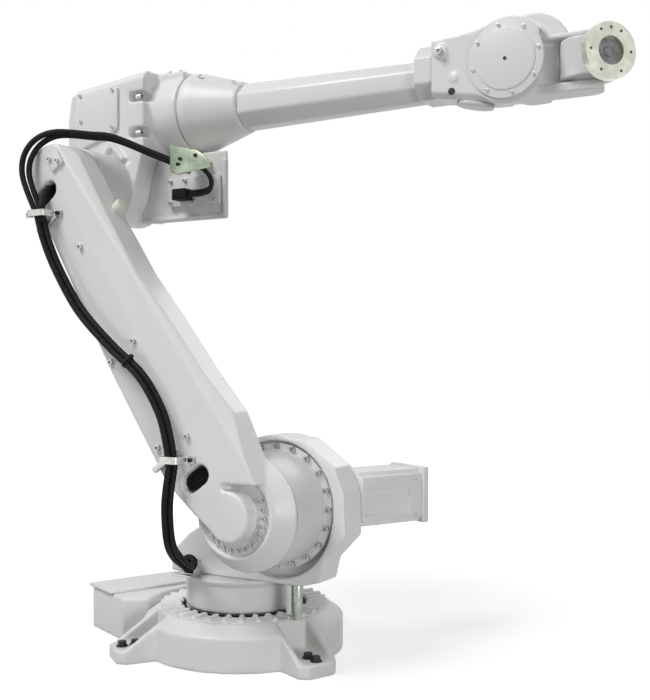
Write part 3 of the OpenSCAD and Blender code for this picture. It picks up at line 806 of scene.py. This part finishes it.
def wristWeb(bm):
    # web behind the tilting body, narrow toward its axis so that the swing stays clear
    (tip, tipHalf), (root, rootHalf) = wrist["webTip"], wrist["webRoot"]
    outline = [(arm["axis5x"] - away, y) for away, y in
               ((tip, -tipHalf), (tip, tipHalf), (root, rootHalf), (root, -rootHalf))]
    heights = (arm["axis4z"] - wrist["webTall"], arm["axis4z"] + wrist["webTall"])
    rings = [[bm.verts.new((x, y, z)) for x, y in outline] for z in heights]
    bm.faces.new(rings[0])
    bm.faces.new(rings[1][::-1])
    for i in range(4):
        j = (i + 1) % 4
        bm.faces.new((rings[0][j], rings[0][i], rings[1][i], rings[1][j]))


def deckRibs(bm):
    # rounded crowns of the deck ribs
    for k in range(deck["ribs"]):
        turn = math.tau * k / deck["ribs"] + turnBase
        way = Vector((math.cos(turn), math.sin(turn), 0))
        drumInto(bm, way * deck["middle"] + Vector((0, 0, deck["z"])), way, deck["radius"], deck["long"], 16)


# castings: node, voxel, paint, what is grown on, what is cut, and smoothing rounds
castings = [
    ("base_casting", 0.0040, "castPaint", (), (), 5),
    ("rear_box", 0.0045, "castPaint", (), (), 4),
    # painted shade: the neck takes the darker grey because it lies in the frame's shadow
    ("turret_neck", 0.0040, "greyAndShadePaint", (), (), 4),
    ("turret_frame", 0.0040, "castPaint", (stopRib,), (frameRecess,), 6),
    ("lower_arm", 0.0040, "castPaint", (), (), 6),
    ("elbow_housing", 0.0040, "castPaint", (elbowWeb, elbowLug), [elbowPocket(z) for z in elbow["pocketRows"]], 7),
    # painted shade: the motor box takes the darker grey because it lies in shadow under the elbow
    ("axis3_motor_box", 0.0035, "greyAndShadePaint", (motorBoxRim,), (), 4),
    ("forearm_root", 0.0035, "castPaint", (), (), 6),
    ("wrist_collar", 0.0030, "castPaint", (), (), 4),
    ("wrist_housing", 0.0030, "castPaint", (wristLug, wristWeb), (), 6),
    ("base_rib_ring", 0.0022, "castPaint", (deckRibs,), (), 2),
    ("tilt_body", 0.0025, "castPaint", (), (), 5),
]
for casting in castings:
    castNode(*casting)
print("stage: castings", len(castings))

# machined, plated and sheet parts: node, width of the broken edges, finish and slot
trims = [
    ("rear_box_lid", 0.0030, "lidPaint", "paint"),
    ("axis2_motor", 0.0040, "castPaint", "paint"),
    ("axis2_motor_cap", 0.0050, "lidPaint", "paint"),
    ("elbow_rear_cover", 0.0030, "castPaint", "paint"),
    # painted shade: the connector plate on the motor box takes the darker grey for the same shadow
    ("connector_plate", 0.0020, "greyAndShadePaint", "paint"),
    ("wrist_side_cover", 0.0020, "castPaint", "paint"),
    ("arm_tip_cap", 0.0020, "castPaint", "paint"),
    ("arm_bumper", 0.0050, "bumperPlastic", "rubber"),
    ("stop_pin", 0.0020, "pinSteel", "zinc"),
    ("lower_clamp", 0.0012, "screwSteel", "zinc"),
    ("upper_clamp", 0.0012, "screwSteel", "zinc"),
    ("cable_bracket", 0.0008, "zincPlate", "zinc"),
    ("cable_foot_clip", 0.0012, "screwSteel", "zinc"),
    ("axis2_gearbox", 0.0025, "greyAndShadePaint", "paint"),
    ("axis3_gearbox", 0.0025, "greyAndShadePaint", "paint"),
    ("arm_hub_ring", 0.0008, "greyAndShadePaint", "paint"),
    ("forearm_tube", 0.0060, "castPaint", "paint"),
    ("wrist_under_cover", 0.0020, "greyAndShadePaint", "paint"),
    ("cable_plug", 0.0030, "cableJacket", "cable"),
]
for trim in trims:
    trimNode(*trim)
nodes["tool_flange"].data.materials.clear()
nodes["tool_flange"].data.materials.append(looks["flangeSteel"])
print("stage: trims", len(trims))

# seal round the foot of the neck
neckSeal = ((0.1562, 0.1125), (0.1562, 0.1165), (0.1600, 0.1180), (0.1640, 0.1165), (0.1640, 0.1125))
# black discs deep in the two cable openings of the arm, painted shade that makes the openings look black: middle along
# the arm and half sizes
openingShades = {"lower": ((-0.031, 0.120), 0.044, 0.023), "upper": ((-0.043, 0.980), 0.041, 0.020), "depth": -0.3120}


def addNeckSeal():
    bm = bmesh.new()
    latheInto(bm, neckSeal, 96)
    faceOutward(bm)
    newPiece("neckSeal", bm, "base", "deepShadow", angle=50)


def addOpeningShade(name):
    (side, along), wide, tall = openingShades[name]
    bm = bmesh.new()
    bmesh.ops.create_circle(bm, cap_ends=True, segments=48, radius=1)
    face = bm.faces[:]
    bmesh.ops.inset_individual(bm, faces=face, thickness=0.22, depth=-0.25)
    bmesh.ops.inset_individual(bm, faces=face, thickness=0.20, depth=0.10)
    for v in bm.verts:
        reach = wide - tall * (1 - abs(v.co.y)) * 0.2
        v.co = armPoint(side + v.co.x * reach, openingShades["depth"] - v.co.z * 0.02, along + v.co.y * tall)
    faceOutward(bm)
    # painted shade: a black domed disc that darkens the inside of the opening
    newPiece(name + "Seal", bm, "lower_arm", "deepShadow", angle=50)


addNeckSeal()
addOpeningShade("lower")
addOpeningShade("upper")

# bolted cap at the far end of axis 3
farCap = {"radius": 0.070, "middle": 0.1180, "thick": 0.006, "edge": 0.002, "boltRing": 0.058, "boltFoot": 0.1210}
# sockets on the rear of the connection box: place and radius, then steps by share, depth and reach
sockets = {
    "spots": ((-0.10, 0.026), (0.0, 0.026), (0.09, 0.019)),
    "steps": ((1, 0.006, 0.003), (0.78, 0.016, 0.010), (0.62, 0.020, 0.012)),
    "rear": -0.420, "z": 0.062,
}


def addFarCap():
    bm = bmesh.new()
    place = (arm["axis3"].x, farCap["middle"], arm["axis3"].z)
    drumInto(bm, place, across, farCap["radius"], farCap["thick"], 64)
    breakEdges(bm, [e for e in bm.edges if abs(e.calc_face_angle(0)) > 0.8], farCap["edge"], 3)
    newPiece("axis3FarCap", bm, "elbow", "lidPaint")
    places = ringPlaces(arm["axis3"] + across * farCap["boltFoot"], farCap["boltRing"], range(0, 360, 45))
    addScrews("axis3FarScrews", "elbow", 0.0048, 0.004, places, across)


def addSockets():
    baseAxes = Matrix.Rotation(turnBase, 3, "Z")
    bm = bmesh.new()
    for y, radius in sockets["spots"]:
        for share, depth, out in sockets["steps"]:
            place = baseAxes @ Vector((sockets["rear"] - out, y, sockets["z"]))
            drumInto(bm, place, baseAxes @ Vector((1, 0, 0)), radius * share, depth, 32)
    newPiece("baseConnectors", bm, "base", "blackScrew")


addFarCap()
addSockets()
print("stage: seals, cap and sockets")

# screws, true to scale: base and turret
feet = {"turns": (0, 102, -102), "rings": (0.297, 0.331), "z": 0.034}
footTurns = [turnBase + math.radians(a) for a in feet["turns"]]
footPlaces = [Vector((ring * math.cos(t), ring * math.sin(t), feet["z"])) for t in footTurns for ring in feet["rings"]]
addScrews("footBolts", "base", 0.0135, 0.014, footPlaces, up, "blackScrew", "hexagon")
drumRing = {"face": -0.1090, "radius": 0.150}
drumMiddle = Vector(arm["axis2"]) + across * drumRing["face"]
addScrews("axis2RingScrews", "turret", 0.0072, 0.009, ringPlaces(drumMiddle, drumRing["radius"], range(0, 360, 18)))

# lower arm: places across and along the arm
hub = {"radius": 0.084, "face": -0.295}
hubPlaces = [armPoint(hub["radius"] * math.cos(math.radians(a)), hub["face"], hub["radius"] * math.sin(math.radians(a)))
             for a in range(-174, 0, 14)]
addScrews("hubScrews", "lower_arm", 0.0055, 0.007, hubPlaces)
flank = {"face": -0.3335, "edge": 0.012, "slope": 0.0875,
         "spots": ((-0.018, 0.792), (-0.004, 0.496), (0.010, 0.215), (-0.098, 0.495), (-0.087, 0.240))}
flankPlaces = [armPoint(side, flank["face"] + max(0, (flank["edge"] - side) * flank["slope"]), along)
               for side, along in flank["spots"]]
addScrews("flankScrews", "lower_arm", 0.0075, 0.010, flankPlaces)
tip = {"face": -0.342, "spots": ((0.026, 1.038), (0.046, 1.018))}
addScrews("tipScrews", "lower_arm", 0.006, 0.007, [armPoint(side, tip["face"], along) for side, along in tip["spots"]])

# elbow and forearm: places along X and Z
cover = {"face": -0.133, "spots": ((-0.464, 1.499), (-0.347, 1.502), (-0.461, 1.426), (-0.347, 1.400))}
addScrews("elbowCoverScrews", "elbow", 0.005, 0.004, [(x, cover["face"], z) for x, z in cover["spots"]])
pocketBolt = {"x": -0.276, "y": -0.112}
pocketPlaces = [(pocketBolt["x"], pocketBolt["y"], z) for z in elbow["pocketRows"]]
addScrews("elbowPocketBolts", "elbow", 0.008, 0.016, pocketPlaces, (1, 0, 0))
crown = {"y": -0.046, "spots": ((-0.216, 1.5465), (-0.179, 1.5455))}
addScrews("elbowCrownBolts", "elbow", 0.0065, 0.008, [(x, crown["y"], z) for x, z in crown["spots"]], up)
root = {"way": Vector((0, -0.57, 0.82)), "spots": ((-0.102, 0.100), (-0.005, 0.070))}
rootPlaces = [Vector((x, 0, arm["axis4z"])) + root["way"] * out for x, out in root["spots"]]
addScrews("forearmRootBolts", "forearm", 0.0065, 0.008, rootPlaces, root["way"])
plate = {"face": -0.072, "spots": ((-0.192, 1.246), (-0.144, 1.246), (-0.050, 1.246),
                                   (-0.192, 1.188), (-0.111, 1.188), (-0.044, 1.188))}
addScrews("connectorScrews", "elbow", 0.0055, 0.006, [(x, plate["face"], z) for x, z in plate["spots"]])

# wrist: the round cover lies behind axis 5
wristCover = {"back": 0.163, "face": -0.085, "rise": 0.008, "boltRing": 0.0795,
              "lugBolt": (0.607, -0.085, 1.484), "plugOut": 0.0028, "plugUnder": (0.634, -0.0782, 1.3890)}
wristMiddle = Vector((arm["axis5x"] - wristCover["back"], wristCover["face"], arm["axis4z"] + wristCover["rise"]))
wristPlaces = ringPlaces(wristMiddle, wristCover["boltRing"], range(12, 372, 45))
addScrews("wristCoverScrews", "forearm", 0.0042, 0.0035, wristPlaces)
addScrews("wristLugBolt", "forearm", 0.0085, 0.010, [wristCover["lugBolt"]])

# axis 2 motor: places in its own turned axes
motorTurn = Matrix.Rotation(math.radians(arm["motorTurn"]), 3, "Z")
motor = {"place": Vector((0.175, -0.045, 0.4)), "end": 0.390, "half": 0.058,
         "panel": 0.0705, "panelY": 0.345, "panelRows": (-0.05, 0.045),
         "louvreRows": (0.026, 0.036), "louvreX": (0.0605, 0.0655), "louvreY": (0.190, 0.322), "louvreHalf": 0.0022}
capPlaces = [motor["place"] + motorTurn @ Vector((x, motor["end"], z))
             for x in (-motor["half"], motor["half"]) for z in (-motor["half"], motor["half"])]
addScrews("motorCapScrews", "turret", 0.0055, 0.005, capPlaces, motorTurn @ across)
panelPlaces = [motor["place"] + motorTurn @ Vector((motor["panel"], motor["panelY"], z)) for z in motor["panelRows"]]
addScrews("motorSideScrews", "turret", 0.0045, 0.004, panelPlaces, motorTurn @ Vector((1, 0, 0)))


def addLouvreShades():
    # louvres of the motor panel as dark strips, painted shade of the slots
    (xLow, xHigh), (yLow, yHigh), half = motor["louvreX"], motor["louvreY"], motor["louvreHalf"]
    bm = bmesh.new()
    for z in motor["louvreRows"]:
        blockInto(bm, (xLow, yLow, z - half), (xHigh, yHigh, z + half), soften=0.0008)
    bmesh.ops.rotate(bm, matrix=motorTurn, verts=bm.verts[:])
    bmesh.ops.translate(bm, vec=motor["place"], verts=bm.verts[:])
    newPiece("motorLouvreShades", bm, "turret", "deepShadow")


def addWristPlugs():
    # plug in the middle of the wrist cover, and one below the lug
    bm = bmesh.new()
    drumInto(bm, wristMiddle + near * wristCover["plugOut"], across, 0.0042, 0.0022, 20, 0.0036)
    drumInto(bm, wristCover["plugUnder"], across, 0.0085, 0.0028, 24, 0.0075)
    newPiece("wristPlugs", bm, "forearm", "blackScrew")


# floor of the bore in the tool flange
flangeBore = {
    "outline": ((0.0305, 0.0), (0.0305, 0.0012), (0.0225, 0.0012), (0.0215, 0.0004),
                (0.0120, 0.0004), (0.0105, 0.0024), (0.0, 0.0024)),
    "out": 0.0801,
}


def addFlangeBore():
    bend = math.radians(arm["bend"])
    way = Vector((math.cos(bend), -math.sin(bend), 0))
    bm = bmesh.new()
    latheInto(bm, flangeBore["outline"], 48)
    turnTo(bm, bm.verts[:], way, Vector((arm["axis5x"], 0, arm["axis4z"])) + way * flangeBore["out"])
    faceOutward(bm)
    newPiece("flangeBore", bm, "flange", "boreSteel")


addLouvreShades()
addWristPlugs()
addFlangeBore()
addScrews("strapScrews", "lower_arm", 0.0055, 0.006, straps["screws"], look="blackScrew")
print("stage: screws")

print("stage: finished")
